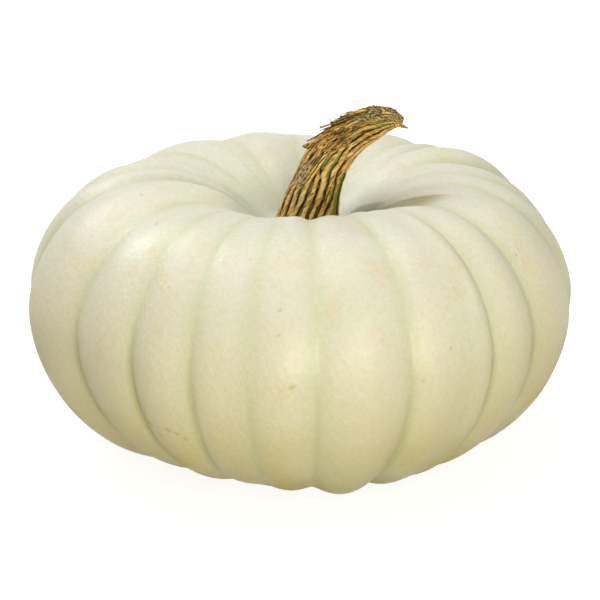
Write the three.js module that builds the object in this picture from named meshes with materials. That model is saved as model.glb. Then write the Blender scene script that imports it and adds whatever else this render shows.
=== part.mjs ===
// A flat ribbed pumpkin, as picked: the fruit, and the corky stem that it was cut off with.
// Lengths are in millimetres and angles in degrees. +Z is up and the ground is z = 0.
// A bearing is an angle round the fruit's axis, seen from above: 0 points to -Y, 90 to +X.
import * as THREE from 'three';

// ---- the fruit's crest line, which a rib follows from the stem to the blossom end ----
const BELLY_REACH = 152;        // from the axis to an even rib's crest at its widest
const BELLY_HEIGHT = 88;
const CROWN_REACH = 78;         // the ring of highest points, round the hollow at the top
const CROWN_HEIGHT = 155;
const SEAT_REACH = 22;          // the flat that the stem stands on
const SEAT_HEIGHT = 128.5;
const FOOT_REACH = 69;          // the ring that the fruit rests on
const FOOT_HEIGHT = -0.4;       // an even rib is pressed flat by this much, a proud one by more
const SCAR_REACH = 12;          // the blossom scar, in the hollow underneath
const SCAR_HEIGHT = 13;

// How round each stretch of the crest line is: [outward, upward] powers of cosine and sine.
const SHOULDER_ROUNDNESS = [0.9, 1.12];
const FLANK_ROUNDNESS = [1.08, 1.08];
const TOP_HOLLOW_STEEPNESS = 1.74;
const FOOT_HOLLOW_STEEPNESS = 1.6;

// ---- the ribs, each with the furrow before it ----
// [the furrow's bearing, its depth on the flank and at the crown against the deepest,
//  how proud the rib's crest is on the flank and at the crown]
const RIBS = [
  [-89, 0.5, 0.35, 3.5, 3.5], [-57, 1.1, 0.55, -2.5, -2.5], [-39, 1.2, 0.5, -2, -2],
  [-24, 1.1, 0.6, -2.5, -2], [-11, 0.45, 0.15, 0, 0], [3, 0.5, 0.45, 3, 0],
  [23, 0.9, 0.5, 0.5, 0], [36, 0.15, 0.3, -0.5, -0.5], [44, 1.1, 0.4, -1, -1],
  [59, 1.2, 0.5, 0, 0], [85, 1.0, 0.5, -1.5, -1.5], [99, 0.9, 0.45, -1, -1],
  [115, 1.1, 0.6, 3, 3], [131, 0.5, 0.3, 0, 0], [141, 0.9, 0.6, 0.5, 0.5],
  [161, 1.1, 0.9, -3.5, -3.5], [184, 0.8, 0.5, 0, 0], [207, 0.8, 0.5, 0, 0],
  [233, 0.7, 0.45, -2, -2], [248, 0.6, 0.4, 1, 1], [257, 0.3, 0.3, 1.8, 1.8],
];
const FURROW_DEPTH = 4.6;
const FLANK_SOFTNESS = 0.2;     // 0 is a sharp crease, 1 a gentle wave
const CROWN_SOFTNESS = 0.6;
const CREST_FLATNESS = 0.85;    // how flat a rib's crest is: 1 is round, less is flatter
const CROWN_SPREAD = 147;       // the reach at which the ribs' crown shape gives way to the flank's
const FURROW_FADE_TOP = [17, 55];   // reaches between which the ribs fade out round the stem,
const FURROW_FADE_FAR = [39, 94];   // the same on the side that the stem leans to,
const FURROW_FADE_FOOT = [12, 110]; // and under the fruit
const FAR_SIDE = 122;           // the bearing of the middle of that side
const FAR_SIDE_EDGE = [38, 62]; // how far from it the side is complete and has ended

// ---- the deep fold that runs in to the stem ----
const FOLD_BEARING = 71;
const FOLD_SWERVE = 34;         // how much further round it lies next to the stem
const FOLD_SWERVE_REACH = [24, 46]; // reaches between which it swings back
const FOLD_DEPTH = 4;
const FOLD_WIDTH = [22, 4];     // in degrees, before and after its middle
const FOLD_START = [22, 34];    // reaches between which it deepens
const FOLD_END = [66, 97];      // and between which it dies out

const STEM_OFFSET = 1.5;        // the stem grows this far from the middle, towards +X

// ---- the stem ----
// Its middle line from the seat to the broken tip: [x, height, half width].
const STEM_STATIONS = [
  [1.2, 128.8, 19], [2.1, 131.8, 17.6], [3.3, 136.6, 16.4], [5.6, 143.5, 14.8], [8.7, 152.3, 13.2],
  [12.9, 163, 12.5], [19, 171.8, 11.6], [27.1, 179.2, 10], [35.7, 184.7, 9.3],
  [43.4, 187.3, 7.6], [50, 187.9, 5.3], [54, 187.2, 3.6], [56.7, 186.2, 2.4], [58.9, 185.4, 2],
];
const BASE_SHARE = 0.25;        // how much of the stem bends from its level base to its own slant
const CORK_RIDGES = 11;
const CORK_RIDGE_HEIGHT = 0.07; // against the stem's half width
const CORK_TWIST = 50;          // how far the ridges turn from the seat to the tip

// ---- how finely the solids are faceted ----
const STEPS_PER_RIB = 8;
const HOLLOW_STEPS = 5;
const SHOULDER_STEPS = 7;
const FLANK_STEPS = 9;
const STEPS_PER_RIDGE = 4;
const STEM_STEPS = 28;

const SKIN = new THREE.MeshStandardMaterial({ color: 0xe6dfc6, roughness: 0.42, metalness: 0 });
const CORK = new THREE.MeshStandardMaterial({ color: 0xa88748, roughness: 0.85, metalness: 0 });

const { degToRad, euclideanModulo, lerp, smoothstep } = THREE.MathUtils;

// Shares from 0 to 1 in equal steps, with both ends.
function shares(steps) {
  return Array.from({ length: steps + 1 }, (_, step) => step / steps);
}

// The crest line as [reach, height], from the middle of the scar up to the middle of the seat.
function crestLine() {
  const seat = [[0, SEAT_HEIGHT]];
  const topHollow = shares(HOLLOW_STEPS).slice(0, -1).map((share) => [
    lerp(SEAT_REACH, CROWN_REACH, share),
    CROWN_HEIGHT - (CROWN_HEIGHT - SEAT_HEIGHT) * (1 - share) ** TOP_HOLLOW_STEEPNESS,
  ]);
  const shoulder = shares(SHOULDER_STEPS).slice(0, -1).map((share) => {
    const angle = (1 - share) * Math.PI / 2;
    return [
      CROWN_REACH + (BELLY_REACH - CROWN_REACH) * Math.cos(angle) ** SHOULDER_ROUNDNESS[0],
      BELLY_HEIGHT + (CROWN_HEIGHT - BELLY_HEIGHT) * Math.sin(angle) ** SHOULDER_ROUNDNESS[1],
    ];
  });
  const flank = shares(FLANK_STEPS).map((share) => {
    const angle = share * Math.PI / 2;
    return [
      FOOT_REACH + (BELLY_REACH - FOOT_REACH) * Math.max(Math.cos(angle), 0) ** FLANK_ROUNDNESS[0],
      BELLY_HEIGHT - (BELLY_HEIGHT - FOOT_HEIGHT) * Math.sin(angle) ** FLANK_ROUNDNESS[1],
    ];
  });
  const footHollow = shares(HOLLOW_STEPS).slice(1).map((share) => [
    lerp(FOOT_REACH, SCAR_REACH, share),
    lerp(FOOT_HEIGHT, SCAR_HEIGHT, share ** FOOT_HOLLOW_STEEPNESS),
  ]);
  const scar = [[0, SCAR_HEIGHT]];
  return [...seat, ...topHollow, ...shoulder, ...flank, ...footHollow, ...scar]
    .map(([reach, height]) => new THREE.Vector2(reach, height))
    .reverse();
}

// How far a rib has swelled at `share` of its width: 0 in the furrows and 1 at its crest.
function swelling(share, softness) {
  const wave = Math.hypot(Math.sin(share * Math.PI), softness) - softness;
  return (wave / (Math.hypot(1, softness) - softness)) ** CREST_FLATNESS;
}

// Where rib number `rib` is cut at `share` of its width: its bearing, and how far in it lies.
function ribSection(rib, share) {
  const [bearing, flankDepth, crownDepth, flankProud, crownProud] = RIBS[rib % RIBS.length];
  const [nextBearing, nextFlankDepth, nextCrownDepth] = RIBS[(rib + 1) % RIBS.length];
  const width = (nextBearing - bearing + 360) % 360;
  const inset = (softness, depth, nextDepth, proud) => {
    const swell = swelling(share, softness);
    return (1 - swell) * FURROW_DEPTH * lerp(depth, nextDepth, share) - swell * proud;
  };
  return {
    bearing: bearing + share * width,
    onFlank: inset(FLANK_SOFTNESS, flankDepth, nextFlankDepth, flankProud),
    atCrown: inset(CROWN_SOFTNESS, crownDepth, nextCrownDepth, crownProud),
  };
}

// How many degrees a bearing lies after another one, from -180 to 180.
function turnFrom(middle, bearing) {
  return euclideanModulo(bearing - middle + 180, 360) - 180;
}

// The ribs fade out towards the stem's seat and the blossom scar.
function ribShare(point, bearing) {
  if (point.y <= BELLY_HEIGHT) return smoothstep(point.x, ...FURROW_FADE_FOOT);
  const farSide = 1 - smoothstep(Math.abs(turnFrom(FAR_SIDE, bearing)), ...FAR_SIDE_EDGE);
  return lerp(smoothstep(point.x, ...FURROW_FADE_TOP), smoothstep(point.x, ...FURROW_FADE_FAR), farSide);
}

function foldDepth(point, bearing) {
  if (point.y <= BELLY_HEIGHT) return 0;
  const middle = FOLD_BEARING + FOLD_SWERVE * (1 - smoothstep(point.x, ...FOLD_SWERVE_REACH));
  const away = turnFrom(middle, bearing);
  const across = Math.exp(-((away / FOLD_WIDTH[away < 0 ? 0 : 1]) ** 2));
  return FOLD_DEPTH * across * smoothstep(point.x, ...FOLD_START) * (1 - smoothstep(point.x, ...FOLD_END));
}

// How far a point of the crest line is moved in, at one section of a rib.
function insetAt(point, section) {
  const upper = point.y > BELLY_HEIGHT;
  const crown = upper ? 1 - smoothstep(point.x, CROWN_REACH, CROWN_SPREAD) : 0;
  const rib = lerp(section.onFlank, section.atCrown, crown);
  return rib * ribShare(point, section.bearing) + foldDepth(point, section.bearing);
}

// The outward direction at a row of the crest line, square to the line.
function outward(line, row) {
  const before = line[Math.max(row - 1, 0)];
  const after = line[Math.min(row + 1, line.length - 1)];
  return new THREE.Vector2(after.y - before.y, before.x - after.x).normalize();
}

// The fruit is the crest line turned about its axis, with each vertex then moved into its rib.
function fruitGeometry() {
  const line = crestLine();
  const turns = RIBS.length * STEPS_PER_RIB;
  const geometry = new THREE.LatheGeometry(line, turns);
  const position = geometry.getAttribute('position');
  for (let turn = 0; turn <= turns; turn += 1) {
    const rib = Math.floor(turn / STEPS_PER_RIB);
    const section = ribSection(rib, turn / STEPS_PER_RIB - rib);
    const bearing = degToRad(section.bearing);
    line.forEach((point, row) => {
      const out = outward(line, row).multiplyScalar(insetAt(point, section));
      const reach = point.x - out.x;
      const inHollow = point.y > BELLY_HEIGHT && point.x < CROWN_REACH;
      const offset = inHollow ? STEM_OFFSET * (1 - point.x / CROWN_REACH) : 0;
      position.setXYZ(
        turn * line.length + row,
        reach * Math.sin(bearing) + offset,
        Math.max(point.y - out.y, 0),
        reach * Math.cos(bearing),
      );
    });
  }
  return geometry.rotateX(Math.PI / 2);
}

// The stem is a turned bar bent along its middle line, with cork ridges twisting round it.
function stemGeometry() {
  const middle = new THREE.CatmullRomCurve3(
    STEM_STATIONS.map(([x, height]) => new THREE.Vector3(x, 0, height)),
  );
  const halfWidth = new THREE.CatmullRomCurve3(
    STEM_STATIONS.map(([, , half]) => new THREE.Vector3(half, 0, 0)),
  );
  const sides = CORK_RIDGES * STEPS_PER_RIDGE;
  const bar = [
    new THREE.Vector2(0, 0),
    ...shares(STEM_STEPS).map((share) => new THREE.Vector2(1, share)),
    new THREE.Vector2(0, 1),
  ];
  const geometry = new THREE.LatheGeometry(bar, sides);
  const position = geometry.getAttribute('position');
  const up = new THREE.Vector3(0, 0, 1);
  const sideways = new THREE.Vector3(0, 1, 0);
  for (let turn = 0; turn <= sides; turn += 1) {
    const angle = (turn % sides) / sides * 2 * Math.PI;
    bar.forEach((point, row) => {
      const share = point.y;
      const along = middle.getTangent(share).lerp(up, 1 - smoothstep(share, 0, BASE_SHARE)).normalize();
      const across = new THREE.Vector3().crossVectors(sideways, along);
      const ridge = 1 + CORK_RIDGE_HEIGHT * Math.cos(CORK_RIDGES * angle);
      const radius = halfWidth.getPoint(share).x * ridge * point.x;
      const twisted = angle + degToRad(CORK_TWIST) * share;
      const place = middle.getPoint(share)
        .addScaledVector(across, radius * Math.cos(twisted))
        .addScaledVector(sideways, radius * Math.sin(twisted));
      position.setXYZ(turn * bar.length + row, place.x, place.y, place.z);
    });
  }
  return geometry;
}

function named(name, geometry, material) {
  const mesh = new THREE.Mesh(geometry, material);
  mesh.name = name;
  return mesh;
}

const pumpkin = new THREE.Group();
pumpkin.add(named('fruit', fruitGeometry(), SKIN));
pumpkin.add(named('stem', stemGeometry(), CORK));

export default pumpkin;
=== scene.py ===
"""A flat ribbed pumpkin with its corky stem: the looks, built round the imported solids.

Lengths are in metres and angles in degrees, unless a name or a comment says otherwise. A bearing
is an angle round the fruit's axis, seen from above: 0 points to -Y and 90 to +X. Everything
random is drawn from seeded generators.
"""

import math

import bpy
import numpy as np
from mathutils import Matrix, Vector, noise


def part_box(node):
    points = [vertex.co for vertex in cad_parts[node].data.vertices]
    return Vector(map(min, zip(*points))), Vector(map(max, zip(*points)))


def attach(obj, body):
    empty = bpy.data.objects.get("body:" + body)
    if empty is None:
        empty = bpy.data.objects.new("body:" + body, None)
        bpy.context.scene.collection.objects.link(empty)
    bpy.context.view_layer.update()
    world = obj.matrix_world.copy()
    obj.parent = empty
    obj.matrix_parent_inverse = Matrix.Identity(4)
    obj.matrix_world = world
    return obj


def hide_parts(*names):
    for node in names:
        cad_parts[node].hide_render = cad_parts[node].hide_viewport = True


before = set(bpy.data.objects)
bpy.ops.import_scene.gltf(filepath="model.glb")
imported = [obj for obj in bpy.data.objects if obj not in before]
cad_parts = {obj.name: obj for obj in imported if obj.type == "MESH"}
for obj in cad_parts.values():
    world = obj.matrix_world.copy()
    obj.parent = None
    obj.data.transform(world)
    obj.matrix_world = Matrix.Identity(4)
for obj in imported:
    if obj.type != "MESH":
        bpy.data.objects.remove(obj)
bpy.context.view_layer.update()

MM = 0.001
FRUIT_LOW, FRUIT_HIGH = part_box("fruit")
STEM_LOW, STEM_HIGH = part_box("stem")
WIDTH = FRUIT_HIGH.x - FRUIT_LOW.x
HEIGHT = FRUIT_HIGH.z
STEM_SPAN = STEM_HIGH - STEM_LOW

# ---- the fruit's crest line, which a rib follows from the blossom scar to the stem ----
BELLY_REACH = 0.5014 * WIDTH
BELLY_HEIGHT = 0.5552 * HEIGHT
CROWN_REACH = 0.2573 * WIDTH    # the ring of highest points, round the hollow at the top
CROWN_HEIGHT = 0.978 * HEIGHT
SEAT_REACH = 0.55 * STEM_SPAN.y     # the flat that the stem stands on
SEAT_HEIGHT = STEM_LOW.z - 0.3 * MM
FOOT_REACH = 0.2276 * WIDTH     # the ring that the fruit rests on
FOOT_HEIGHT = -0.4 * MM
SCAR_REACH = 0.04 * WIDTH       # the blossom scar, in the hollow underneath
SCAR_HEIGHT = 0.082 * HEIGHT
# How round each stretch of the crest line is: (outward, upward) powers of cosine and sine.
SHOULDER_ROUNDNESS = (0.9, 1.12)
FLANK_ROUNDNESS = (1.08, 1.08)
TOP_HOLLOW_STEEPNESS = 1.74
FOOT_HOLLOW_STEEPNESS = 1.6

# ---- the ribs, each with the furrow before it ----
# (the furrow's bearing, its depth on the flank and at the crown against the deepest, how proud
# the rib's crest is on the flank and at the crown, in mm)
RIBS = (
    (-89, 0.5, 0.35, 3.5, 3.5), (-57, 1.1, 0.55, -2.5, -2.5), (-39, 1.2, 0.5, -2, -2),
    (-24, 0.9, 0.6, -2.5, -2), (-11, 0.45, 0.15, 0, 0), (3, 0.5, 0.45, 3, 0),
    (23, 0.75, 0.5, 0.5, 0), (36, 0.15, 0.3, -0.5, -0.5), (44, 0.9, 0.4, -1, -1),
    (59, 1.1, 0.5, 0, 0), (85, 1.0, 0.5, -1.5, -1.5), (99, 0.9, 0.45, -1, -1),
    (115, 1.1, 0.6, 3, 3), (131, 0.5, 0.3, 0, 0), (141, 0.9, 0.6, 0.5, 0.5),
    (161, 1.1, 0.9, -3.5, -3.5), (184, 0.8, 0.5, 0, 0), (207, 0.8, 0.5, 0, 0),
    (233, 0.7, 0.45, -2, -2), (248, 0.6, 0.4, 1, 1), (257, 0.3, 0.3, 1.8, 1.8),
)
FURROW_DEPTH = 4.6 * MM
FURROW_SOFTNESS = (0.34, 0.6)   # on the flank and at the crown: 0 is a crease, 1 a gentle wave
CREST_FLATNESS = 0.85           # how flat a rib's crest is: 1 is round, less is flatter
CROWN_SPREAD = 0.97 * BELLY_REACH   # the reach at which the ribs' crown shape gives way to the flank's
FURROW_FADE_TOP = (0.056 * WIDTH, 0.181 * WIDTH)    # reaches between which they fade out on top,
FURROW_FADE_FAR = (0.13 * WIDTH, 0.31 * WIDTH)      # the same on the side that the stem leans to
FURROW_FADE_FOOT = (0.04 * WIDTH, 0.363 * WIDTH)    # and under the fruit
FAR_SIDE = 122                  # the bearing of the middle of that side
FAR_SIDE_EDGE = (38, 62)        # how far from it the side is complete and has ended
STEM_OFFSET = 1.5 * MM          # the stem grows this far from the middle, towards +X

# The green band and the fine crease along a furrow's middle.
BAND_WIDTH = 2.3                # degrees to either side
BAND_FULL_DEPTH = 0.6           # a furrow of this depth or more has the whole band
CREASE_WIDTH = 1.2              # degrees to either side
CREASE_DEPTH = 0.7 * MM
CREASE_START = (0.3 * WIDTH, 0.42 * WIDTH)      # reaches between which it deepens
CREASE_END = (0.35 * HEIGHT, 0.85 * HEIGHT)     # heights between which it dies out

# A deep fold that runs in to the stem.
FOLD_BEARING = 71
FOLD_SWERVE = 34                # how much further round it lies next to the stem
FOLD_SWERVE_REACH = (0.079 * WIDTH, 0.152 * WIDTH)  # reaches between which it swings back
FOLD_DEPTH = 3.8 * MM
FOLD_WIDTH = (22, 2.2)          # degrees before and after its middle
FOLD_SHADE_WIDTH = (17, 1.0)    # the same for the shade in it
FOLD_START = (0.073 * WIDTH, 0.112 * WIDTH)     # reaches between which it deepens
FOLD_END = (0.217 * WIDTH, 0.32 * WIDTH)        # and between which it dies out

# Fine pleats that run in from the crown to the stem: how many waves go round, where each wave
# starts in radians, and its strength.
PLEATS = ((31, 0.4, 0.5), (47, 2.1, 0.6), (73, 4.4, 0.45), (97, 1.3, 0.35))
PLEAT_DEPTH = 0.16 * MM
PLEAT_SIDE = -95                # the bearing of the side where they are deepest
PLEAT_SIDE_EDGE = (0.1, 0.8)    # the cosines of how far round that side has ended and is complete
PLEAT_ELSEWHERE = 0.15          # their share of that depth on the other side
PLEAT_START = (SEAT_REACH, 0.13 * WIDTH)    # reaches between which they deepen
PLEAT_END = (0.24 * WIDTH, 0.42 * WIDTH)    # and between which they die out

BULGES = ((0.7 * MM, 0.22 * WIDTH), (0.3 * MM, 0.07 * WIDTH))   # how high, and how far across
BULGE_START = (0.02 * HEIGHT, 0.12 * HEIGHT)    # heights between which the flank gets them
BULGE_CLEARANCE = (SEAT_REACH, 0.15 * WIDTH)    # reaches that keep them off the stem's seat
FRUIT_COLUMNS = 560
FRUIT_ROWS = 176
COLUMN_CROWDING = 0.5           # how much closer the columns are in a furrow, from 0 to 1

# ---- the stem's middle line ----
# (share across the stem's box, share up it, half width against the box's depth)
STEM_STATIONS = (
    (0.262, -0.02, 0.465), (0.271, 0.045, 0.42), (0.283, 0.118, 0.398), (0.309, 0.222, 0.364),
    (0.347, 0.355, 0.328), (0.401, 0.517, 0.31), (0.479, 0.65, 0.288), (0.583, 0.762, 0.252),
    (0.693, 0.843, 0.236), (0.782, 0.885, 0.2), (0.85, 0.897, 0.155), (0.897, 0.893, 0.115),
    (0.925, 0.885, 0.085), (0.945, 0.877, 0.06),
)
LEVEL_SHARE = 0.25              # how much of the stem turns from its level base to its own slant
STEM_TWIST = math.radians(50)   # how far the bark turns from the seat to the tip


# ================ small tools ================

def tint(code):
    """A colour written as six hex digits, as the linear values that a socket takes."""
    values = [int(code[i:i + 2], 16) / 255 for i in (0, 2, 4)]
    return tuple(v / 12.92 if v < 0.0405 else ((v + 0.055) / 1.055) ** 2.4 for v in values) + (1,)


def ease(value, low, high):
    """0 below low, 1 above high, and a smooth step between them."""
    share = np.clip((np.asarray(value, float) - low) / (high - low), 0, 1)
    return share * share * (3 - 2 * share)


def lumps(points, size, seed=0):
    """Smooth noise from about -1 to 1 at each point, with lumps about `size` across."""
    shift = Vector((17.3, 4.1, 9.7)) * (seed + 1)
    return np.array([noise.noise(Vector(point) / size + shift) for point in points])


def smooth_curve(values, at, wanted):
    """The values, given at rising places, read off at the wanted places along a smooth curve."""
    values, at = np.asarray(values, float), np.asarray(at, float)
    slopes = np.gradient(values, at, axis=0)
    i = np.clip(np.searchsorted(at, wanted, side="right") - 1, 0, len(at) - 2)
    span = at[i + 1] - at[i]
    t = (wanted - at[i]) / span
    if values.ndim > 1:
        t, span = t[:, None], span[:, None]
    return ((2 * t ** 3 - 3 * t ** 2 + 1) * values[i] + (t ** 3 - 2 * t ** 2 + t) * span * slopes[i]
            + (3 * t ** 2 - 2 * t ** 3) * values[i + 1] + (t ** 3 - t ** 2) * span * slopes[i + 1])


def turns(count):
    """Even angles round a circle, in radians."""
    return np.arange(count) / count * 2 * math.pi


def tube(path, radius, aside, other, turn):
    """Rings round a path, of a radius at each point, in two directions that cross the path."""
    out = aside[..., None, :] * np.cos(turn)[:, None] + other[..., None, :] * np.sin(turn)[:, None]
    return path[:, None] + radius[..., None] * out


def make_object(name, points, faces, values=None):
    """A smooth-shaded mesh object, with named values at its points for its material to read."""
    mesh = bpy.data.meshes.new(name)
    mesh.from_pydata([tuple(p) for p in points], [], faces)
    mesh.shade_smooth()
    for key, data in (values or {}).items():
        data = np.asarray(data, np.float32)
        kind, field = ("FLOAT_VECTOR", "vector") if data.ndim > 1 else ("FLOAT", "value")
        mesh.attributes.new(key, kind, "POINT").data.foreach_set(field, data.ravel())
    thing = bpy.data.objects.new(name, mesh)
    bpy.context.scene.collection.objects.link(thing)
    return thing


class Heap:
    """Closed lofted pieces of one kind, gathered in one mesh."""

    def __init__(self):
        self.points, self.faces, self.values = [], [], {}

    def add(self, rings, **values):
        """Adds one piece: rings of points from end to end, closed by a face at each end."""
        count, around = rings.shape[:2]
        first = sum(len(p) for p in self.points)
        self.points.append(rings.reshape(-1, 3))
        for ring in range(count - 1):
            for side in range(around):
                a = first + ring * around + side
                b = first + ring * around + (side + 1) % around
                self.faces.append((a, b, b + around, a + around))
        self.faces.append(tuple(range(first + around - 1, first - 1, -1)))
        last = first + (count - 1) * around
        self.faces.append(tuple(range(last, last + around)))
        for key, data in values.items():
            shape = (count, around) + np.shape(data)[2:]
            data = np.broadcast_to(data, shape)
            self.values.setdefault(key, []).append(data.reshape((-1,) + shape[2:]))

    def build(self, name):
        """One object of all the pieces added so far."""
        values = {key: np.concatenate(data) for key, data in self.values.items()}
        return make_object(name, np.concatenate(self.points), self.faces, values)


# ================ the fruit ================

def crest_line():
    """The crest line in even steps from the scar to the seat, as reach and height."""
    share = np.linspace(0, 1, 200)
    turn = share * math.pi / 2
    foot_hollow = (
        SCAR_REACH + (FOOT_REACH - SCAR_REACH) * share,
        FOOT_HEIGHT + (SCAR_HEIGHT - FOOT_HEIGHT) * (1 - share) ** FOOT_HOLLOW_STEEPNESS)
    flank = (
        FOOT_REACH + (BELLY_REACH - FOOT_REACH) * np.sin(turn) ** FLANK_ROUNDNESS[0],
        BELLY_HEIGHT - (BELLY_HEIGHT - FOOT_HEIGHT) * np.abs(np.cos(turn)) ** FLANK_ROUNDNESS[1])
    shoulder = (
        CROWN_REACH + (BELLY_REACH - CROWN_REACH) * np.abs(np.cos(turn)) ** SHOULDER_ROUNDNESS[0],
        BELLY_HEIGHT + (CROWN_HEIGHT - BELLY_HEIGHT) * np.sin(turn) ** SHOULDER_ROUNDNESS[1])
    top_hollow = (
        CROWN_REACH + (SEAT_REACH - CROWN_REACH) * share,
        CROWN_HEIGHT - (CROWN_HEIGHT - SEAT_HEIGHT) * share ** TOP_HOLLOW_STEEPNESS)
    stretches = [((0,), (SCAR_HEIGHT,)), foot_hollow, flank, shoulder, top_hollow,
                 ((0,), (SEAT_HEIGHT,))]
    line = np.concatenate([np.stack(stretch, 1) for stretch in stretches])
    run = np.concatenate([[0], np.cumsum(np.hypot(*np.diff(line, axis=0).T))])
    even = np.linspace(0, run[-1], FRUIT_ROWS + 1)
    return np.stack([np.interp(even, run, line[:, 0]), np.interp(even, run, line[:, 1])], 1)


def turn_from(middle, bearing):
    """How many degrees a bearing in radians lies after the middle, from -180 to 180."""
    return (np.degrees(bearing) - middle + 180) % 360 - 180


def swelling(share, softness):
    """How far a rib has swelled at a share of its width: 0 in the furrows and 1 at its crest."""
    wave = np.hypot(np.sin(share * math.pi), softness) - softness
    return (wave / (math.hypot(1, softness) - softness)) ** CREST_FLATNESS


def rib_columns():
    """Seven values for each column of points.

    They are its bearing in radians, its furrow depth on the flank and at the crown, how proud it
    is at both, and its shares of the furrow's green band and of the fine crease.
    """
    columns = []
    for rib, (bearing, *here) in enumerate(RIBS):
        next_bearing, *after = RIBS[(rib + 1) % len(RIBS)]
        width = (next_bearing - bearing) % 360
        count = max(10, round(width / 360 * FRUIT_COLUMNS))
        share = np.arange(count) / count
        share = share - COLUMN_CROWDING * np.sin(2 * math.pi * share) / (2 * math.pi)
        swells = [swelling(share, softness) for softness in FURROW_SOFTNESS]
        depths = [first + (last - first) * share for first, last in zip(here[:2], after[:2])]
        proud = [swell * size * MM for swell, size in zip(swells, here[2:])]
        furrows = [(1 - swell) * depth for swell, depth in zip(swells, depths)]
        away = np.minimum(share, 1 - share) * width
        band = np.exp(-(away / BAND_WIDTH) ** 2) * ease(depths[0], 0, BAND_FULL_DEPTH)
        crease = np.exp(-(away / CREASE_WIDTH) ** 2) * depths[0]
        bearings = np.radians(bearing + share * width)
        columns.append(np.stack([bearings, *furrows, *proud, band, crease]))
    return np.concatenate(columns, 1)


def pleats(bearing, reach):
    """The relief of the fine pleats, in metres."""
    relief = sum(size * np.cos(count * bearing + start) for count, start, size in PLEATS)
    side = ease(np.cos(bearing - math.radians(PLEAT_SIDE)), *PLEAT_SIDE_EDGE)
    inward = ease(reach, *PLEAT_START) * (1 - ease(reach, *PLEAT_END))
    return PLEAT_DEPTH * relief * inward * (PLEAT_ELSEWHERE + (1 - PLEAT_ELSEWHERE) * side)


def fold_like(bearing, reach, width):
    """1 along the crease of the deep fold, falling off over `width` degrees before and after it."""
    middle = FOLD_BEARING + FOLD_SWERVE * (1 - ease(reach, *FOLD_SWERVE_REACH))
    away = turn_from(middle, bearing)
    across = np.exp(-(away / np.where(away < 0, *width)) ** 2)
    return across * ease(reach, *FOLD_START) * (1 - ease(reach, *FOLD_END))


def fruit_surface():
    """The fruit's points as a grid of rows and columns, with the values that its skin reads."""
    line = crest_line()
    bearing, flank_furrow, crown_furrow, flank_proud, crown_proud, band, crease = rib_columns()
    reach, height = line[:, :1], line[:, 1:]
    slope = np.gradient(line, axis=0)
    out = np.stack([slope[:, 1], -slope[:, 0]], 1) / np.hypot(*slope.T)[:, None]
    upper = height > BELLY_HEIGHT
    far_side = 1 - ease(np.abs(turn_from(FAR_SIDE, bearing)), *FAR_SIDE_EDGE)
    top = ease(reach, *FURROW_FADE_TOP) * (1 - far_side) + ease(reach, *FURROW_FADE_FAR) * far_side
    fade = np.where(upper, top, ease(reach, *FURROW_FADE_FOOT))
    crown = upper * (1 - ease(reach, CROWN_REACH, CROWN_SPREAD))
    furrow = flank_furrow * (1 - crown) + crown_furrow * crown
    proud = flank_proud * (1 - crown) + crown_proud * crown
    plain_skin = np.stack(np.broadcast_arrays(
        reach * np.sin(bearing), -reach * np.cos(bearing), height), -1)
    bulge = sum(rise * lumps(plain_skin.reshape(-1, 3), size, seed)
                for seed, (rise, size) in enumerate(BULGES))
    bulge = bulge.reshape(plain_skin.shape[:2]) * ease(height, *BULGE_START)
    folds = upper * (pleats(bearing, reach) - fold_like(bearing, reach, FOLD_WIDTH) * FOLD_DEPTH)
    crease = crease * ease(reach, *CREASE_START) * (1 - ease(height, *CREASE_END))
    depth = ((furrow * FURROW_DEPTH - proud) * fade + crease * CREASE_DEPTH - folds
             - bulge * ease(reach, *BULGE_CLEARANCE))
    far = reach - out[:, :1] * depth
    high = np.maximum(height - out[:, 1:] * depth, 0)
    offset = STEM_OFFSET * np.clip(1 - reach / CROWN_REACH, 0, 1) * upper
    points = np.stack([far * np.sin(bearing) + offset, -far * np.cos(bearing), high], -1)
    hollow = np.where(upper, 1 - ease(reach, SEAT_REACH, CROWN_REACH), 0)
    scar = np.where(upper, 0, 1 - ease(reach, 0.8 * SCAR_REACH, 1.3 * SCAR_REACH))
    values = {
        "band": band * fade,
        "crease": crease,
        "shade": upper * fold_like(bearing, reach, FOLD_SHADE_WIDTH),
        "rise": high / HEIGHT,
        "hollow": hollow + 0 * bearing,
        "scar": scar + 0 * bearing,
    }
    return points, values


# Small corky marks on the skin, in these colours.
FAINT, LIGHT, STRAW, OLIVE = "d2ca8c", "cfc684", "c9c078", "c6bc74"
AMBER, MUSTARD, TAN, OCHRE, MOSSY = "cebb5c", "cbb650", "b69c4c", "b39a4a", "a89e62"
# (bearing, then height, length and width in mm, slant and colour)
MARKS = (
    (-2, 87, 3.8, 2.8, 30, STRAW), (-5, 124, 2.4, 1.8, 0, LIGHT), (-5, 112, 2.0, 1.5, 60, FAINT),
    (31.5, 101, 2.6, 1.4, 40, OLIVE), (25, 84, 2.0, 1.3, 10, LIGHT), (21, 142, 1.8, 1.3, 0, FAINT),
    (-31, 50, 5.0, 2.8, -42, MUSTARD), (-29, 49, 4.0, 2.4, -38, AMBER),
    (-27.5, 46, 3.2, 2.0, -45, AMBER), (-36.5, 52, 5.0, 2.8, -50, MUSTARD),
    (-34, 44, 4.2, 2.2, -42, AMBER), (-32, 129, 1.8, 1.3, 20, FAINT),
    (-50, 149, 2.2, 1.4, 20, OLIVE), (-67, 156, 2.0, 1.4, 0, OLIVE), (43.5, 101, 1.6, 1.2, 0, LIGHT),
    (62, 130, 1.3, 1.1, 0, MOSSY), (-14, 144, 1.8, 1.2, 30, FAINT), (6, 152, 1.8, 1.3, 0, LIGHT),
    (110, 96, 3.0, 1.8, 20, OLIVE), (150, 120, 2.2, 1.6, 50, LIGHT), (188, 70, 5.2, 2.0, 35, TAN),
    (214, 104, 2.4, 1.6, 0, FAINT), (240, 58, 4.2, 1.6, -30, OCHRE),
)


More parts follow.
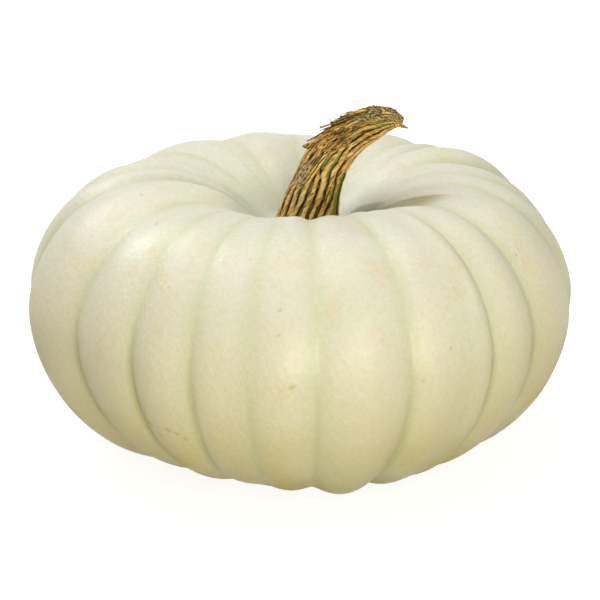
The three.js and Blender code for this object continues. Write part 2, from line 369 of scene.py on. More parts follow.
def place_marks(points):
    """Each mark's middle on the skin, the direction it runs in, its length, width and colour."""
    outer = points[np.hypot(points[..., 0], points[..., 1]) > CROWN_REACH]
    around = np.arctan2(outer[:, 0], -outer[:, 1])
    found = []
    for bearing, height, length, width, slant, colour in MARKS:
        sideways = np.radians(turn_from(bearing, around)) * BELLY_REACH
        middle = outer[np.argmin(np.hypot(sideways, outer[:, 2] - height * MM))]
        turn, tip = math.radians(bearing), math.radians(slant)
        along = (math.cos(turn) * math.cos(tip), math.sin(turn) * math.cos(tip), math.sin(tip))
        found.append((middle, along, length * MM, width * MM, colour))
    return found


def fruit_faces(rows, columns):
    """Faces of the grid, with one point at each pole, and each corner's place on the bake map."""
    last_row, last_point = rows - 1, 1 + (rows - 2) * columns
    faces, places = [], []
    for row in range(last_row):
        for column in range(columns):
            corners = [(row, column), (row, column + 1), (row + 1, column + 1), (row + 1, column)]
            if row == 0:
                del corners[1]
            if row == last_row - 1:
                del corners[2]
            points = [1 + (up - 1) * columns + across % columns for up, across in corners]
            faces.append([min(max(point, 0), last_point) for point in points])
            places += [(across / columns, up / last_row) for up, across in corners]
    return faces, places


def build_fruit():
    """The ribbed fruit, and where its marks are."""
    def gather(grid):
        return np.concatenate([grid[0, :1], grid[1:-1].reshape((-1,) + grid.shape[2:]), grid[-1, :1]])

    points, values = fruit_surface()
    faces, places = fruit_faces(*points.shape[:2])
    fruit = make_object("ribbed_fruit", gather(points), faces,
                        {key: gather(data) for key, data in values.items()})
    layer = fruit.data.uv_layers.new(name="OFBake")
    layer.data.foreach_set("uv", np.asarray(places, np.float32).ravel())
    return fruit, place_marks(points)


# ================ the stem ================

def stem_line():
    """Even samples of the stem's middle line: run, place, direction and half width."""
    shares = np.array(STEM_STATIONS)
    places = np.stack([STEM_LOW.x + shares[:, 0] * STEM_SPAN.x, 0 * shares[:, 0],
                       STEM_LOW.z + shares[:, 1] * STEM_SPAN.z], 1)
    chord = np.concatenate([[0], np.cumsum(np.linalg.norm(np.diff(places, axis=0), axis=1))])
    at = np.linspace(0, chord[-1], 600)
    curve = smooth_curve(places, chord, at)
    half = smooth_curve(shares[:, 2] * STEM_SPAN.y, chord, at)
    run = np.concatenate([[0], np.cumsum(np.linalg.norm(np.diff(curve, axis=0), axis=1))])
    along = np.gradient(curve, run, axis=0)
    level = 1 - ease(run / run[-1], 0, LEVEL_SHARE)[:, None]
    along = along * (1 - level) + np.array([0, 0, 1]) * level
    return run, curve, along / np.linalg.norm(along, axis=1)[:, None], half


STEM_RUN, STEM_CURVE, STEM_ALONG, STEM_HALF = stem_line()
STEM_LENGTH = STEM_RUN[-1]


def read_line(table, run):
    """What one of the middle line's tables says at each run along the stem."""
    flat = np.clip(np.ravel(run), 0, STEM_LENGTH)
    columns = [np.interp(flat, STEM_RUN, column) for column in np.reshape(table, (len(STEM_RUN), -1)).T]
    return np.stack(columns, -1).reshape(np.shape(run) + np.shape(table)[1:])


def on_stem(run, angle, lift):
    """Points at a run along the stem and an angle round it, `lift` outside its plain surface.

    Angles round the stem are in radians here. Angle 0 is the inside of the bend, a half turn its
    outside and a quarter turn back the front. The twist along the stem is added to them.
    """
    run, angle, lift = np.broadcast_arrays(run, angle, lift)
    centre, along = read_line(STEM_CURVE, run), read_line(STEM_ALONG, run)
    across = np.cross(np.array([0.0, 1.0, 0.0]), along)
    radius = read_line(STEM_HALF, run) + lift
    turned = angle + STEM_TWIST * run / STEM_LENGTH
    return (centre + across * (radius * np.cos(turned))[..., None]
            + np.array([0.0, 1.0, 0.0]) * (radius * np.sin(turned))[..., None])


def untwisted(degrees, share):
    """The angle that comes to lie at the given degrees round the stem at a share of its length."""
    return math.radians(degrees) - STEM_TWIST * share


def facing(run, angle, middle, spread):
    """1 where the bark faces the middle angle, fading to 0 at `spread` degrees to either side."""
    away = np.abs(turn_from(middle, angle + STEM_TWIST * run / STEM_LENGTH))
    return 1 - ease(away, 0.6 * spread, spread)


# ---- the bark: strips of cork that split and join, cut by fine slits ----
BARK_COLUMNS = 328
BARK_ROWS = 300
STRIP_WAVES = 22
STRIP_COUNT = (14, 24)          # how many strips go round the stem, from and to
STRIP_DRIFT = 185               # how fast they split and join along it, in radians a metre
EDGE_WAVER = (0.3, 0.5)         # how far their edges waver, finely and broadly, in mm
SLIT_COUNT = (34, 52)
SLIT_DRIFT = 230
LEVEL_RANGE = (-3, 1.5)         # the level is low in the gaps between strips and high on them
SKIN_LEVEL = -1                 # at this level only the skin shows
LEVEL_RAGGEDNESS = 0.3

# Parts of the bark that differ: the angle they face, their spread in degrees to either side, and
# the shares of the stem's length between which each begins and ends.
BARE_BAND = (-28, 17)           # smooth green skin without cork
BARE_END = (0.4, 0.52)
TORN_PATCH = (-150, 30)         # cork torn off down to the crumbly layer
TORN_START = (0.2, 0.28)
TORN_END = (0.36, 0.42)
CRUMBLY_TOP = (170, 100)        # weathered cork without strips
CRUMBLY_START = (0.5, 0.6)
PATCH_UNEVENNESS = 0.03         # of the first two, in the same shares

# The relief of the bark, in mm.
STRIP_RISE = 1.3
STRIP_ROUNDING = 0.25
STRIP_UNEVENNESS = 0.5
SLIT_DEPTH = 0.5
GRAIN_RISE = 0.2
BARE_RISE = 0.9
CRUMB_RISE = (0.8, 0.4)         # the coarse and the fine lumps of the crumbly cork
TORN_DEPTH = 0.4                # how far that lies below the plain surface in the torn patch


def strips(angle, run, count, drift, seed):
    """A field over the bark that is high in long pointed strips and low in the gaps between."""
    rng = np.random.default_rng(seed)
    total = 0 * angle
    for _ in range(STRIP_WAVES):
        total = total + np.cos(rng.integers(*count) * angle + rng.normal(0, drift) * run
                               + rng.uniform(0, 2 * math.pi))
    return total / math.sqrt(STRIP_WAVES / 2)


def build_bark():
    """The stem: strips of cork with green skin and dark cracks between, and a crumbly top."""
    run = np.linspace(0, STEM_LENGTH, BARK_ROWS)[:, None]
    run, angle = np.broadcast_arrays(run, turns(BARK_COLUMNS)[None, :])
    share = run / STEM_LENGTH
    half = read_line(STEM_HALF, run)
    unbent = np.stack([half * np.cos(angle), half * np.sin(angle), run], -1).reshape(-1, 3)

    def texture(lengthwise, size, seed):
        return lumps(unbent * (1, 1, lengthwise), size * MM, seed).reshape(run.shape)

    grain = texture(0.16, 0.8, 1)
    crumbs = texture(0.5, 1.2, 2)
    blotches = texture(1, 7, 3)
    ragged = texture(0.4, 1.3, 4)
    sway = texture(1, 8, 5)
    tone = np.clip(0.5 + 0.8 * texture(0.13, 2.6, 8), 0, 1)
    patchy = ease(texture(0.2, 6, 9), -0.45, -0.15)

    uneven = share + PATCH_UNEVENNESS * blotches
    bare = facing(run, angle, *BARE_BAND) * (1 - ease(uneven, *BARE_END))
    torn = facing(run, angle, *TORN_PATCH) * ease(uneven, *TORN_START) * (1 - ease(uneven, *TORN_END))
    crumbly = facing(run, angle, *CRUMBLY_TOP) * ease(share, *CRUMBLY_START) * ease(blotches, -0.7, -0.2)

    fine_waver, broad_waver = EDGE_WAVER
    swayed = angle + (fine_waver * ragged + broad_waver * sway) * MM / half
    level = strips(swayed, run, STRIP_COUNT, STRIP_DRIFT, 6) + LEVEL_RAGGEDNESS * ragged
    level = np.clip(level, *(edge + (SKIN_LEVEL - edge) * bare for edge in LEVEL_RANGE))
    slit = strips(swayed, run, SLIT_COUNT, SLIT_DRIFT, 7)
    strip = ease(level, -0.6, -0.2)
    cork = (STRIP_RISE * (strip - 1) + STRIP_ROUNDING * np.clip(level, -0.5, 1.5)
            + STRIP_UNEVENNESS * strip * tone + GRAIN_RISE * grain
            - SLIT_DEPTH * strip * ease(slit, -1.2, -1.6) + BARE_RISE * bare) * MM
    crumbled = (CRUMB_RISE[0] * crumbs + CRUMB_RISE[1] * grain) * MM
    cork = cork * (1 - torn) + (crumbled - TORN_DEPTH * MM) * torn
    lift = np.clip(half / (10 * MM), 0.25, 1) * (cork * (1 - crumbly) + crumbled * crumbly)
    heap = Heap()
    heap.add(on_stem(run, angle, lift), level=level, slit=slit, tone=tone, green=np.maximum(bare, patchy),
             torn=torn, crumbly=crumbly, place=np.stack([run, angle * half, lift], -1))
    return heap.build("stem_bark")


# ---- the torn bark ----
# Each row of flakes: where its tips are as a share of the stem, the first and last angle round the
# stem, how many there are, and the most that one is long, wide and stands off, in mm.
TORN_ROWS = (
    (0.67, 160, 262, 6, 14, 3.4, 1.8),
    (0.61, 165, 258, 6, 15, 4.0, 2.6),
    (0.55, 172, 252, 6, 16, 5.0, 3.2),
    (0.49, 176, 256, 8, 17, 5.6, 3.6),
    (0.45, 182, 238, 7, 15, 5.6, 4.2),
)
LEAST_FLAKE = (0.5, 0.3, 0.3)   # the least length, width and rise, as shares of the most
TIP_SCATTER = 0.015             # in shares of the stem
ANGLE_SCATTER = 4
FLAKE_RINGS = 16
FLAKE_SIDES = np.array([-1, -0.5, 0, 0.5, 1, 0.5, 0, -0.5])    # its section: from side to side,
FLAKE_HEIGHTS = np.array([0.5, 1, 1, 1, 0.5, 0, 0, 0])         # and from its under side up
FLAKE_THICKNESS = 0.7 * MM
FLAKE_SINK = 0.3 * MM           # how far its held end is sunk in the bark
# One pale flake that stands up off the top of the bend: tip, angle, and length, width, rise in mm.
PALE_FLAKE = (0.71, 186, 9, 5, 3.2)
# Stubs left at the broken tip: share of the stem, angle, and how far each reaches in mm.
STUBS = ((0.985, -40, (4.6, -1.2, -1.3)), (0.975, 60, (2.6, 0.8, 0.5)))
STUB_RADIUS = 1.1 * MM
STUB_RINGS = 10
STUB_SIDES = 8


def ragged_edge(rng):
    """A smooth random run of values about 0, one for each ring of a flake."""
    step = 2
    knots = rng.normal(0, 0.4, FLAKE_RINGS // step + 2)
    return np.interp(np.arange(FLAKE_RINGS) / step, np.arange(len(knots)), knots)[:, None]


def flake_rings(tip, angle, length, width, rise, rng):
    """A torn flake of bark: held at its upper end, its ragged lower end standing off the stem.

    It is widest near its middle, runs to a point, and curls up more on one side.
    """
    share = np.linspace(0, 1, FLAKE_RINGS)[:, None]
    side = FLAKE_SIDES
    run = tip + (1 - share) * length
    taper = (1 - share ** 2) ** 0.8 * (0.45 + 0.55 * share) + 0.04
    left, right = ragged_edge(rng), ragged_edge(rng)
    notch = 1 + np.where(side < 0, left, right)
    lean = rng.normal(0, 0.25) * share * width
    swing = angle + (lean + side * taper * notch * width / 2) / read_line(STEM_HALF, run)
    curl = rise * share ** 1.7 * (1 + 0.25 * rng.normal() * side)
    lift = curl + FLAKE_THICKNESS * FLAKE_HEIGHTS - FLAKE_SINK * (1 - share)
    run, _ = np.broadcast_arrays(run, swing)
    rings = on_stem(run, swing, lift)
    edge = np.broadcast_to(np.maximum(np.abs(side), share ** 4), swing.shape)
    place = np.stack([run, side * width / 2 + 0 * swing, lift], -1) + rng.uniform(0, 1, 3)
    return rings[::-1], {"edge": edge[::-1], "tone": rng.uniform(), "place": place[::-1]}


def stub_rings(run, angle, reach, rng):
    """A broken stub of wood that runs on by `reach` from inside the stem."""
    share = np.linspace(0, 1, STUB_RINGS)[:, None]
    turn = turns(STUB_SIDES)
    path = on_stem(run, angle, -0.8 * MM)[None] + share * reach
    ahead = reach / np.linalg.norm(reach)
    aside = np.cross(ahead, (0.0, 1.0, 0.0))
    aside /= np.linalg.norm(aside)
    other = np.cross(aside, ahead)
    radius = STUB_RADIUS * (1 - 0.6 * share ** 2) * (1 + rng.normal(0, 0.16, (STUB_RINGS, STUB_SIDES)))
    rings = tube(path, radius, aside, 0.8 * other, turn)
    place = np.stack([share * np.linalg.norm(reach) + 0 * radius, radius * np.cos(turn),
                      radius * np.sin(turn)], -1)
    return rings, {"edge": 0.9 * share + 0 * radius, "tone": 0.8, "place": place}


def build_flakes():
    """Torn bark on the outside of the bend: a ragged collar, and rows of splinters above it."""
    rng = np.random.default_rng(5)
    heap = Heap()
    for share, first, last, count, *most in TORN_ROWS:
        for degrees in np.linspace(first, last, count) + rng.normal(0, ANGLE_SCATTER, count):
            tip = (share + rng.normal(0, TIP_SCATTER)) * STEM_LENGTH
            sizes = np.array(most) * MM * rng.uniform(LEAST_FLAKE, 1)
            rings, values = flake_rings(tip, untwisted(degrees, share), *sizes, rng)
            heap.add(rings, **values)
    share, degrees, *sizes = PALE_FLAKE
    sizes = np.array(sizes) * MM
    rings, values = flake_rings(share * STEM_LENGTH, untwisted(degrees, share), *sizes, rng)
    heap.add(rings, **{**values, "tone": 1.0})
    for share, degrees, reach in STUBS:
        reach = np.array(reach) * MM
        rings, values = stub_rings(share * STEM_LENGTH, untwisted(degrees, 1), reach, rng)
        heap.add(rings, **values)
    return heap.build("torn_bark")


# ---- the crumbs and the fibres ----
CRUMB_COUNT = 460
CRUMB_SHARES = (0.6, 0.95)      # where they lie along the stem
CRUMB_ANGLE = (178, 34)         # the angle that they lie round, and their scatter in degrees
CRUMB_LENGTH = (0.6 * MM, 1.8 * MM)
CRUMB_WIDTH = (0.3 * MM, 0.8 * MM)
CRUMB_LIFT = (-0.2 * MM, 0.5 * MM)
CRUMB_SLANT = 0.7               # how far they lie aslant, against their length
CRUMB_UNEVENNESS = 0.22
CRUMB_FLATNESS = 0.7            # height against width
FIBRE_COUNT = 9
FIBRE_SHARES = (0.6, 0.72)
FIBRE_ANGLES = (165, 215)
FIBRE_LENGTH = (3 * MM, 7 * MM)
FIBRE_BEND = (-2.5, 2.5)        # how far one bends from root to tip, in radians
FIBRE_START = 1.9               # the direction it starts in, in radians from +X towards +Z
FIBRE_STEPS = 16
FIBRE_RADIUS = 0.28 * MM


def build_crumbs():
    """Small crumbs of weathered cork, scattered over the top of the stem."""
    rng = np.random.default_rng(17)
    heap = Heap()
    rings, sides = 6, 7
    arc = np.linspace(0.04, math.pi - 0.04, rings)[:, None]
    turn = turns(sides)
    for _ in range(CRUMB_COUNT):
        share = rng.uniform(*CRUMB_SHARES)
        angle = untwisted(rng.normal(*CRUMB_ANGLE), share)
        length, width = rng.uniform(*CRUMB_LENGTH), rng.uniform(*CRUMB_WIDTH)
        uneven = 1 + rng.normal(0, CRUMB_UNEVENNESS, (rings, sides))
        slant = rng.normal(0, CRUMB_SLANT)
        forth = -length / 2 * np.cos(arc) + 0 * turn
        aside = width * np.sin(arc) * np.cos(turn) * uneven + slant * forth
        lift = (rng.uniform(*CRUMB_LIFT)
                + CRUMB_FLATNESS * width * np.sin(arc) * np.sin(turn) * uneven
                + rng.normal(0, 0.2) * forth)
        run = share * STEM_LENGTH
        points = on_stem(run + forth, angle + aside / read_line(STEM_HALF, run), lift)
        place = np.stack([forth, aside, lift], -1) + rng.uniform(0, 1, 3)
        heap.add(points, edge=0.3, tone=rng.uniform(), place=place)
    return heap.build("cork_crumbs")


def build_fibres():
    """A few dry fibres curling up off the outside of the bend."""
    rng = np.random.default_rng(3)
    heap = Heap()
    step = np.linspace(0, 1, FIBRE_STEPS)
    for _ in range(FIBRE_COUNT):
        share = rng.uniform(*FIBRE_SHARES)
        root = on_stem(share * STEM_LENGTH, untwisted(rng.uniform(*FIBRE_ANGLES), share), 0.2 * MM)
        length, bend = rng.uniform(*FIBRE_LENGTH), rng.uniform(*FIBRE_BEND)
        lean = rng.normal(0, 0.3)
        heading = FIBRE_START + bend * step
        path = np.stack([root[0] + length * np.cumsum(np.cos(heading)) / FIBRE_STEPS,
                         root[1] + length * lean * step,
                         root[2] + length * np.cumsum(np.sin(heading)) / FIBRE_STEPS], 1)
        radius = FIBRE_RADIUS * (1 - 0.7 * step)[:, None]
        ahead = np.gradient(path, axis=0)
        ahead /= np.linalg.norm(ahead, axis=1)[:, None]
        aside = np.cross(ahead, (0, 1, 0))
        rings = tube(path, radius, aside, np.cross(aside, ahead), turns(6))
        heap.add(rings, tone=rng.uniform())
    return heap.build("dry_fibres")


# ================ material tools ================

def put(tree, kind, inputs=None, **settings):
    """Adds a node, sets it up, and joins or sets each named input."""
    node = tree.nodes.new(kind)
    for key, value in settings.items():
        setattr(node, key, value)
    for key, value in (inputs or {}).items():
        socket = node.inputs[key]
        if isinstance(value, bpy.types.NodeSocket):
            tree.links.new(value, socket)
        else:
            socket.default_value = value
    return node


def calc(tree, operation, *values):
    return put(tree, "ShaderNodeMath", dict(enumerate(values)), operation=operation).outputs[0]


def vector_calc(tree, operation, *values):
    node = put(tree, "ShaderNodeVectorMath", dict(enumerate(values)), operation=operation)
    return node.outputs["Value" if operation in ("LENGTH", "DOT_PRODUCT") else "Vector"]


def span(tree, value, low, high, to_low=0.0, to_high=1.0):
    """A value's share of a range, smoothed at both ends."""
    inputs = {"Value": value, "From Min": low, "From Max": high, "To Min": to_low, "To Max": to_high}
    return put(tree, "ShaderNodeMapRange", inputs, interpolation_type="SMOOTHSTEP").outputs["Result"]


def blend(tree, share, first, second, mode="MIX"):
    """The first colour where the share is 0, and the second where it is 1."""
    node = put(tree, "ShaderNodeMix", {0: share, 6: first, 7: second}, data_type="RGBA", blend_type=mode)
    return node.outputs[2]


def layered(tree, colour, *layers):
    """The colour with layers over it: for each, where it lies, its strength there, and its colour."""
    for where, strength, code in layers:
        colour = blend(tree, calc(tree, "MULTIPLY", where, strength), colour, tint(code))
    return colour


def reading(tree, name, output="Fac"):
    """A value that the mesh carries at its points."""
    return put(tree, "ShaderNodeAttribute", attribute_name=name).outputs[output]


def clouds(tree, place, scale, detail=2.0, roughness=0.5):
    inputs = {"Vector": place, "Scale": scale, "Detail": detail, "Roughness": roughness}
    return put(tree, "ShaderNodeTexNoise", inputs).outputs["Fac"]


def stretched(tree, place, factors):
    return vector_calc(tree, "MULTIPLY", place, factors)


def relief(tree, height, strength, depth):
    inputs = {"Height": height, "Strength": strength, "Distance": depth}
    return put(tree, "ShaderNodeBump", inputs).outputs["Normal"]


def new_material(name):
    material = bpy.data.materials.new(name)
    material.use_nodes = True
    tree = material.node_tree
    return material, tree, tree.nodes["Principled BSDF"]


def new_group(name, vectors, numbers, result):
    """An empty node group with its inputs, the outputs of its input node, and where it ends."""
    group = bpy.data.node_groups.new(name, "ShaderNodeTree")
    for title in vectors:
        group.interface.new_socket(title, in_out="INPUT", socket_type="NodeSocketVector")
    for title in numbers:
        group.interface.new_socket(title, in_out="INPUT", socket_type="NodeSocketFloat")
    group.interface.new_socket(result, in_out="OUTPUT", socket_type="NodeSocketFloat")
    given = put(group, "NodeGroupInput").outputs
    return group, given, put(group, "NodeGroupOutput").inputs[result]


def fleck_group():
    """Shared effect: small scattered flecks, from 0 to 1, at a given fineness."""
    group, given, end = new_group("flecks", ("Place",), ("Fineness", "Cover"), "Flecks")
    field = clouds(group, given["Place"], given["Fineness"], 3.0, 0.65)
    low = calc(group, "SUBTRACT", 0.78, calc(group, "MULTIPLY", given["Cover"], 0.4))
    group.links.new(span(group, field, low, calc(group, "ADD", low, 0.08)), end)
    return group


def flecks(tree, group, place, fineness, cover):
    inputs = {"Place": place, "Fineness": fineness, "Cover": cover}
    return put(tree, "ShaderNodeGroup", inputs, node_tree=group).outputs["Flecks"]


def mark_group():
    """A mask that is 1 inside one small long mark with an uneven edge."""
    group, given, end = new_group("skin_mark", ("Place", "Middle", "Along"),
                                  ("Length", "Width", "Wobble"), "Mask")

    def squared(value):
        return calc(group, "MULTIPLY", value, value)

    offset = vector_calc(group, "SUBTRACT", given["Place"], given["Middle"])
    forth = vector_calc(group, "DOT_PRODUCT", offset, given["Along"])
    whole = vector_calc(group, "LENGTH", offset)
    aside = calc(group, "MAXIMUM", calc(group, "SUBTRACT", squared(whole), squared(forth)), 0.0)
    aside = calc(group, "DIVIDE", calc(group, "SQRT", aside), given["Width"])
    forth = calc(group, "DIVIDE", forth, given["Length"])
    reach = calc(group, "SQRT", calc(group, "ADD", squared(forth), squared(aside)))
    reach = calc(group, "ADD", reach, given["Wobble"])
    group.links.new(span(group, reach, 1.15, 0.35), end)
    return group


# ================ the materials ================

def marked(tree, colour, place, marks):
    """The colour with each small corky mark on it."""
    group = mark_group()
    wobble = calc(tree, "MULTIPLY", clouds(tree, place, 900), 0.5)
    for middle, along, length, width, code in marks:
        inputs = {"Place": place, "Wobble": wobble, "Middle": middle, "Along": along,
                  "Length": length, "Width": width}
        mask = put(tree, "ShaderNodeGroup", inputs, node_tree=group).outputs["Mask"]
        colour = layered(tree, colour, (mask, 0.6, code))
    return colour


def skin_material(marks):
    """Waxy cream skin: yellower low down, greener in the furrows, and finely mottled, with painted shade
    low down, on the lower right side, in the fine creases and in the deep fold.
    """
    material, tree, shader = new_material("waxy_cream_skin")
    place = put(tree, "ShaderNodeTexCoord").outputs["Object"]
    leaning = put(tree, "ShaderNodeVectorRotate", {"Vector": place, "Angle": math.radians(30)},
                  rotation_type="Y_AXIS").outputs["Vector"]
    across = put(tree, "ShaderNodeSeparateXYZ", {0: place}).outputs["X"]
    names = ("band", "crease", "rise", "hollow", "shade", "scar")
    band, crease, rise, hollow, shade, scar = (reading(tree, name) for name in names)
    # Painted shade: the lower right side is darkened and yellowed, as if less light fell on it.
    painted_right_shade = calc(tree, "MULTIPLY", span(tree, across, 0.15 * WIDTH, 0.5 * WIDTH),
                  span(tree, rise, 0.8, 0.3, 0.1, 0.5))
    patches = clouds(tree, place, 24, 3)
    warm_patches = clouds(tree, stretched(tree, place, (1.2, 1.2, 0.75)), 46, 4, 0.6)
    spots = clouds(tree, place, 230, 3, 0.6)
    specks = clouds(tree, stretched(tree, leaning, (1, 1, 0.5)), 420, 2)
    upper = blend(tree, span(tree, rise, 0.95, 0.4), tint("edebe0"), tint("eae4c8"))
    colour = layered(
        tree, upper,
        # Yellower and darker low down: partly the skin's own colour, partly painted shade on the
        # underside.
        (span(tree, rise, 0.52, 0.0), 1, "d8c976"),
        (painted_right_shade, 1, "dccd94"),
        (span(tree, patches, 0.45, 0.68), 0.4, "e8ecd2"),
        (span(tree, warm_patches, 0.5, 0.7), 0.4, "ecdcba"),
        (span(tree, spots, 0.54, 0.74), 0.2, "e6d2a4"),
        (span(tree, specks, 0.5, 0.75), 0.2, "e6d6a8"),
        (band, 0.42, "cfd8aa"),
        # A darker olive line in the fine crease: partly the skin's own colour, partly painted shade in
        # the crease.
        (span(tree, crease, 0.1, 0.9), 0.32, "aaa562"),
        (span(tree, hollow, 0.45, 1.0), 0.6, "ccd6c6"),
        (span(tree, shade, 0.15, 0.9), 0.65, "a39a58"))
    mottle = span(tree, clouds(tree, place, 420, 4, 0.65), 0.3, 0.7, 0.96, 1.03)
    grey = put(tree, "ShaderNodeCombineColor", {0: mottle, 1: mottle, 2: mottle}).outputs[0]
    colour = marked(tree, blend(tree, 1.0, colour, grey, "MULTIPLY"), place, marks)
    colour = layered(tree, colour, (scar, 0.9, "a5834f"))
    tree.links.new(colour, shader.inputs["Base Color"])
    dull = span(tree, clouds(tree, place, 30), 0.35, 0.65, 0.32, 0.48)
    tree.links.new(dull, shader.inputs["Roughness"])
    edge_on = put(tree, "ShaderNodeLayerWeight", {"Blend": 0.5}).outputs["Facing"]
    tree.links.new(span(tree, edge_on, 0.95, 0.5, 0.08, 0.38), shader.inputs["Specular IOR Level"])
    grit = clouds(tree, stretched(tree, leaning, (1, 1, 0.35)), 420, 4, 0.6)
    tree.links.new(relief(tree, grit, 0.55, 0.8 * MM), shader.inputs["Normal"])
    return material


def corky(tree, place, fineness):
    """The fine grain of cork and its broader clouds, both drawn out along the stem."""
    grain = clouds(tree, stretched(tree, place, (0.14, 1, 1)), fineness, 4, 0.6)
    return grain, clouds(tree, stretched(tree, place, (0.4, 1, 1)), 420, 3, 0.6)


def finish_cork(tree, shader, colour, grain):
    """Gives dry cork its colour, its dullness and the relief of its grain."""
    tree.links.new(colour, shader.inputs["Base Color"])
    shader.inputs["Roughness"].default_value = 0.8
    shader.inputs["Specular IOR Level"].default_value = 0.3
    tree.links.new(relief(tree, grain, 0.9, 0.4 * MM), shader.inputs["Normal"])


def torn_cork_material(name, pale, deep, flecking):
    """Loose cork, between two colours, with fine dark cracks, and darker sides and ends that are partly
    torn edge and partly painted shade of the gaps between flakes.
    """
    material, tree, shader = new_material(name)
    place = reading(tree, "place", "Vector")
    tone, edge = reading(tree, "tone"), reading(tree, "edge")
    grain, cloud = corky(tree, place, 1500)
    cracks = clouds(tree, stretched(tree, place, (0.12, 1, 1)), 750, 2)
    colour = layered(
        tree, blend(tree, tone, tint(deep), tint(pale)),
        (span(tree, cloud, 0.35, 0.7), 1, deep),
        (span(tree, grain, 0.45, 0.3), 0.7, "ecca82"),
        # Darker sides and free ends of the flakes: partly torn edge, partly painted shade of the gaps
        # between them.
        (span(tree, edge, 0.7, 1.0), 0.8, "54340c"),
        (span(tree, grain, 0.55, 0.63), 1, "74480f"),
        (span(tree, cracks, 0.52, 0.58), 1, "3e2204"),
        (flecks(tree, flecking, place, 1500, 0.12), 1, "5a3708"))
    finish_cork(tree, shader, colour, grain)
    return material


def bark_material(flecking):
    """Cracked bark: cork on the strips, green or brown skin in the wide gaps, dark narrow gaps."""
    material, tree, shader = new_material("cracked_cork")
    place = reading(tree, "place", "Vector")
    names = ("level", "slit", "tone", "green", "crumbly", "torn")
    level, slit, tone, green, crumbly, torn = (reading(tree, name) for name in names)
    grain, cloud = corky(tree, place, 1400)
    cork = layered(
        tree, blend(tree, tone, tint("e2b054"), tint("fde6a8")),
        (span(tree, cloud, 0.4, 0.75), 1, "b47c26"),
        (span(tree, grain, 0.45, 0.3), 0.6, "f2d48a"),
        (span(tree, grain, 0.54, 0.66), 1, "6e430c"),
        (span(tree, slit, -1.1, -1.35), 1, "4a2a06"))
    skin = blend(tree, span(tree, grain, 0.35, 0.65), tint("66731c"), tint("a3a84a"))
    skin = blend(tree, green, tint("74481a"), skin)
    wound = blend(tree, span(tree, grain, 0.42, 0.56), tint("e2cb9c"), tint("4c2a10"))
    crumbs = blend(tree, span(tree, grain, 0.35, 0.65), tint("9a8644"), tint("d8c68a"))
    crumbs = layered(tree, crumbs, (flecks(tree, flecking, place, 1300, 0.8), 1, "46300a"))
    on_strips = span(tree, level, -0.42, -0.22)
    rim = calc(tree, "MULTIPLY", span(tree, level, 0.25, -0.2), on_strips)
    colour = blend(tree, span(tree, level, -0.66, -0.84), tint("2c1804"), skin)
    colour = blend(tree, on_strips, colour, cork)
    colour = layered(tree, colour, (rim, 0.6, "8f6122"))
    colour = blend(tree, calc(tree, "MULTIPLY", torn, 0.9), colour, wound)
    finish_cork(tree, shader, blend(tree, crumbly, colour, crumbs), grain)
    return material


def fibre_material():
    material, tree, shader = new_material("dark_fibre")
    colour = blend(tree, reading(tree, "tone"), tint("4a3722"), tint("8b7650"))
    tree.links.new(colour, shader.inputs["Base Color"])
    shader.inputs["Roughness"].default_value = 0.8
    return material


def seen_directly(tree):
    """1 for what the camera sees, straight or in a reflection, and 0 for what only gives light."""
    path = put(tree, "ShaderNodeLightPath").outputs
    seen = calc(tree, "MAXIMUM", path["Is Camera Ray"], path["Is Glossy Ray"])
    return calc(tree, "MAXIMUM", seen, path["Is Transmission Ray"])


def floor_material():
    """A pale matt floor, white to the camera where it is fully lit."""
    material, tree, shader = new_material("pale_floor")
    shader.inputs["Base Color"].default_value = tint("a09c90")
    shader.inputs["Roughness"].default_value = 0.9
    shader.inputs["Emission Color"].default_value = (1, 1, 1, 1)
    place = put(tree, "ShaderNodeTexCoord").outputs["Object"]
    bright = span(tree, vector_calc(tree, "LENGTH", place), WIDTH, 2.5 * WIDTH, 0.87, 1.0)
    strength = calc(tree, "MULTIPLY", seen_directly(tree), bright)
    tree.links.new(strength, shader.inputs["Emission Strength"])
    return material


# ================ the set ================

VIEW_ELEVATION = math.radians(19)
VIEW_HEIGHT = BELLY_HEIGHT + 0.5 * MM
VIEW_DISTANCE = 14.8 * BELLY_REACH
VIEW_LENS = 240.8                # in mm, on a sensor 36 mm wide
VIEW_RISE = 5.6 * MM             # how far the view's height is above the middle of the picture
VIEW_SIDE = 1.4 * MM             # and how far the fruit's axis is to the right of it

LAMP_DISTANCE = 1.6
# The lamps: name, bearing, elevation, width, height, power in watts and colour.
LAMPS = (
    ("front_lamp", 10, 10, 0.9, 0.9, 8.9, "fffdf4"),
    ("front_low_lamp", 10, 6, 1.1, 0.4, 7.2, "fffae2"),
    ("front_high_lamp", 18, 36, 0.22, 0.22, 1.1, "fffae6"),
    ("left_low_lamp", -50, 3, 0.3, 0.3, 1.6, "ffec9e"),
    ("right_lamp", 85, 30, 0.9, 0.9, 3.0, "fff3cc"),
    ("left_lamp", -85, 52, 0.9, 0.9, 3.0, "fffeee"),
    ("top_lamp", 0, 89, 0.9, 0.9, 6.5, "fffef5"),
    ("rear_left_lamp", -131, 45, 0.6, 0.6, 10.9, "fffffd"),
    ("rear_right_lamp", 130, 45, 0.9, 0.9, 3.6, "fffbe4"),
)
WORLD_STRENGTH = 0.02


def add_camera():
    data = bpy.data.cameras.new("camera")
    data.lens = VIEW_LENS
    data.sensor_width = 36
    camera = bpy.data.objects.new("camera", data)
    back = Vector((0, -math.cos(VIEW_ELEVATION), math.sin(VIEW_ELEVATION)))
    up = Vector((0, math.sin(VIEW_ELEVATION), math.cos(VIEW_ELEVATION)))
    aim = Vector((0, 0, VIEW_HEIGHT))
    camera.location = aim + back * VIEW_DISTANCE - up * VIEW_RISE - Vector((VIEW_SIDE, 0, 0))
    camera.rotation_euler = (math.pi / 2 - VIEW_ELEVATION, 0, 0)
    bpy.context.scene.collection.objects.link(camera)
    bpy.context.scene.camera = camera


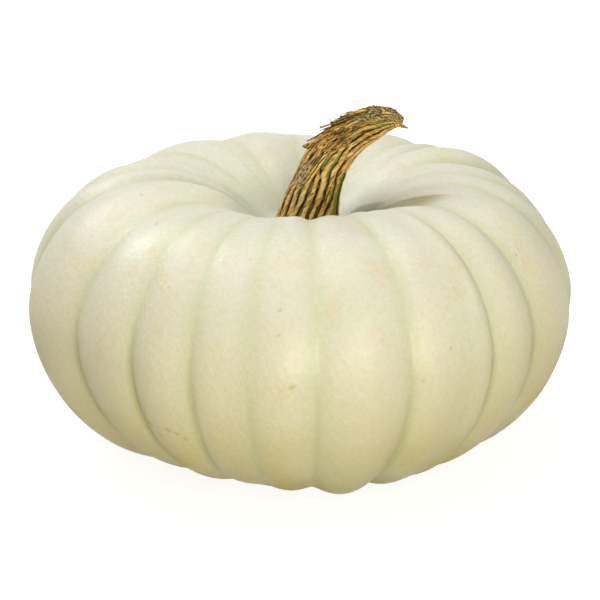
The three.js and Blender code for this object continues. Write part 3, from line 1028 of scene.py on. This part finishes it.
def add_lamp(name, bearing, elevation, width, height, power, colour):
    """A soft oblong lamp that faces the pumpkin from a bearing and an elevation."""
    data = bpy.data.lights.new(name, "AREA")
    data.shape = "RECTANGLE"
    data.size = width
    data.size_y = height
    data.energy = power
    data.color = tint(colour)[:3]
    lamp = bpy.data.objects.new(name, data)
    bearing, elevation = math.radians(bearing), math.radians(elevation)
    away = Vector((math.sin(bearing) * math.cos(elevation), -math.cos(bearing) * math.cos(elevation),
                   math.sin(elevation)))
    lamp.location = Vector((0, 0, HEIGHT / 2)) + away * LAMP_DISTANCE
    lamp.rotation_euler = away.to_track_quat("Z", "Y").to_euler()
    bpy.context.scene.collection.objects.link(lamp)


def add_world():
    """A little even light from all round, and plain white wherever the camera sees past the floor."""
    world = bpy.data.worlds.new("studio")
    bpy.context.scene.world = world
    world.use_nodes = True
    tree = world.node_tree
    background = tree.nodes["Background"].inputs
    background["Color"].default_value = (1, 1, 1, 1)
    tree.links.new(span(tree, seen_directly(tree), 0, 1, WORLD_STRENGTH, 1.0), background["Strength"])


def add_floor():
    side = 20 * WIDTH
    corners = [(-side, -side, 0), (side, -side, 0), (side, side, 0), (-side, side, 0)]
    floor = make_object("floor", corners, [(0, 1, 2, 3)])
    floor.location.z = -0.2 * MM
    floor.data.materials.append(floor_material())


def dress(piece, material, slot, *nodes):
    """Gives a piece its material, and hides the solids that it stands in for. The slot is not used."""
    piece.data.materials.append(material)
    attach(piece, "root")
    if nodes:
        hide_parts(*nodes)


bpy.context.scene.view_settings.view_transform = "Standard"
add_camera()
add_world()
add_floor()
for lamp in LAMPS:
    add_lamp(*lamp)

flecking = fleck_group()
fruit, marks = build_fruit()
dress(fruit, skin_material(marks), "rind", "fruit")
dress(build_bark(), bark_material(flecking), "cork", "stem")
dress(build_flakes(), torn_cork_material("torn_cork", "fad078", "b48638", flecking), "cork")
dress(build_crumbs(), torn_cork_material("weathered_cork", "eedba0", "7a622a", flecking), "cork")
dress(build_fibres(), fibre_material(), "cork")
